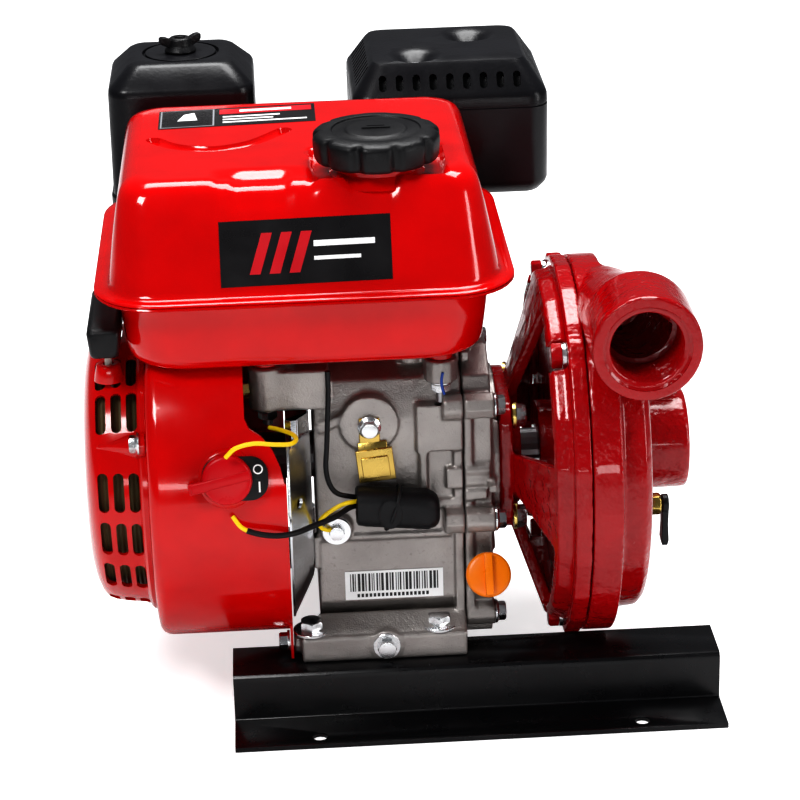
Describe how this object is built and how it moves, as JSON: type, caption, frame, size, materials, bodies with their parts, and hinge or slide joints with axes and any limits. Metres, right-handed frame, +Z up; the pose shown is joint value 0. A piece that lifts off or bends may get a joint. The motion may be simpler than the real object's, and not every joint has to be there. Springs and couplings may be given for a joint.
{
  "type": "portable fire pump",
  "caption": "Petrol engine with recoil start driving a bolted centrifugal water pump through a cast adapter, standing on folded steel rails.",
  "frame": {"origin": "middle of the bounding box in plan, on the plane that the rails stand on", "axes": "+X along the crankshaft from the engine to the pump's suction port, +Y to the cylinder and muffler side, +Z up"},
  "size_m": [0.3676, 0.3452, 0.355],
  "materials": {
    "black_steel": "semi-gloss black paint",
    "cast_aluminium": "as die cast",
    "zinc_steel": "bright zinc plate",
    "steel": "machined or rolled steel",
    "rubber": "matte",
    "yellow_wire": "satin lead insulation",
    "red_gloss": "gloss red enamel",
    "red_plastic": "satin",
    "black_plastic": "fine grain moulding",
    "filter_paper": "pleated paper",
    "rope": "braided cord",
    "brass": "dull",
    "red_cast": "red paint over cast iron",
    "orange_plastic": "satin"
  },
  "bodies": {
    "root": {"front_rail": "black_steel", "rear_rail": "black_steel", "foot_bolt_front_left": "zinc_steel", "foot_bolt_front_right": "zinc_steel", "foot_bolt_rear_left": "zinc_steel", "foot_bolt_rear_right": "zinc_steel", "crankcase": "cast_aluminium", "crankcase_cover": "cast_aluminium", "drain_plug": "zinc_steel", "cylinder_head": "cast_aluminium", "rocker_cover": "black_steel", "spark_plug": "steel", "spark_plug_cap": "rubber", "pto_oil_seal": "rubber", "blower_housing": "red_gloss", "side_shield": "zinc_steel", "recoil_cover": "red_gloss", "stop_switch_plate": "black_plastic", "tank_upper_shell": "red_gloss", "tank_lower_shell": "red_gloss", "air_cleaner_base": "black_plastic", "air_filter_element": "filter_paper", "carburettor": "cast_aluminium", "intake_insulator": "black_plastic", "muffler": "steel", "muffler_guard": "black_steel", "oil_alert_unit": "rubber", "brass_clip": "brass", "wire_tank_to_switch": "yellow_wire", "wire_switch_to_alert": "rubber", "wire_alert_to_ground": "yellow_wire", "wire_alert_feed": "rubber", "adapter_bracket": "red_cast", "casing_bolt_1": "red_cast", "casing_bolt_2": "red_cast", "casing_bolt_3": "red_cast", "casing_bolt_4": "red_cast", "casing_bolt_5": "red_cast", "pump_shaft_seal": "rubber", "pump_casing": "red_cast", "suction_port": "red_cast", "discharge_port": "red_cast", "drain_cock": "brass"},
    "rotor": {"crankshaft": "steel", "flywheel_fan": "cast_aluminium", "impeller": "cast_aluminium"},
    "reel": {"starter_reel": "black_plastic"},
    "grip": {"starter_grip": "black_plastic", "starter_rope": "rope"},
    "cap_lift": {"fuel_cap_gasket": "rubber"},
    "cap": {"fuel_cap": "black_plastic"},
    "dipstick_pull": {"dipstick_seal": "rubber"},
    "dipstick": {"dipstick": "orange_plastic"},
    "stop_knob": {"stop_switch_knob": "red_plastic"},
    "cleaner_cover": {"air_cleaner_cover": "black_plastic"},
    "wing_nut": {"wing_nut": "black_plastic"},
    "choke": {"choke_lever": "black_plastic"},
    "fuel_cock": {"fuel_cock_lever": "black_plastic"},
    "throttle": {"throttle_lever": "black_plastic"},
    "drain_lever": {"drain_cock_lever": "black_plastic"}
  },
  "joints": [
    {"name": "rotor_spin", "type": "hinge", "parent": "root", "child": "rotor", "pos_m": [0.05725, -0.05936, 0.138], "axis": [1, 0, 0], "continuous": true},
    {"name": "grip_pull", "type": "slide", "parent": "root", "child": "grip", "axis": [-0.867, 0, 0.4983], "range_m": [0, 0.6], "deforming": ["starter_rope"]},
    {"name": "reel_turn", "type": "hinge", "parent": "root", "child": "reel", "pos_m": [-0.16625, -0.05936, 0.138], "axis": [1, 0, 0], "range_deg": [-850, 0]},
    {"name": "cap_lift", "type": "slide", "parent": "root", "child": "cap_lift", "axis": [0, 0, 1], "range_m": [0, 0.04]},
    {"name": "cap_turn", "type": "hinge", "parent": "cap_lift", "child": "cap", "pos_m": [-0.00875, -0.08836, 0.332], "axis": [0, 0, 1], "range_deg": [0, 90]},
    {"name": "dipstick_pull", "type": "slide", "parent": "root", "child": "dipstick_pull", "axis": [0, -0.866, 0.5], "range_m": [0, 0.06]},
    {"name": "dipstick_turn", "type": "hinge", "parent": "dipstick_pull", "child": "dipstick", "pos_m": [0.04775, -0.12486, 0.0835], "axis": [0, -0.866, 0.5], "range_deg": [0, 720]},
    {"name": "stop_knob_turn", "type": "hinge", "parent": "root", "child": "stop_knob", "pos_m": [-0.10075, -0.15977, 0.1687], "axis": [0, -0.9563, 0.2924], "range_deg": [-45, 0]},
    {"name": "cleaner_cover_lift", "type": "slide", "parent": "root", "child": "cleaner_cover", "axis": [0, 0, 1], "range_m": [0, 0.1]},
    {"name": "wing_nut_turn", "type": "hinge", "parent": "cleaner_cover", "child": "wing_nut", "pos_m": [-0.12175, 0.10614, 0.347], "axis": [0, 0, 1], "range_deg": [0, 1080]},
    {"name": "choke_turn", "type": "hinge", "parent": "root", "child": "choke", "pos_m": [-0.09175, 0.07133, 0.17001], "axis": [1, 0, 0], "range_deg": [0, 30]},
    {"name": "fuel_cock_turn", "type": "hinge", "parent": "root", "child": "fuel_cock", "pos_m": [-0.09175, 0.06333, 0.15801], "axis": [1, 0, 0], "range_deg": [-45, 0]},
    {"name": "throttle_turn", "type": "hinge", "parent": "root", "child": "throttle", "pos_m": [-0.01475, -0.05936, 0.214], "axis": [0, 0, 1], "range_deg": [-25, 25]},
    {"name": "drain_cock_turn", "type": "hinge", "parent": "root", "child": "drain_lever", "pos_m": [0.15125, -0.12336, 0.124], "axis": [1, 0, 0], "range_deg": [-90, 0]}
  ],
  "couplings": [
    {"joint": "reel_turn", "follows": "grip_pull", "rad_per_m": -24.69}
  ]
}
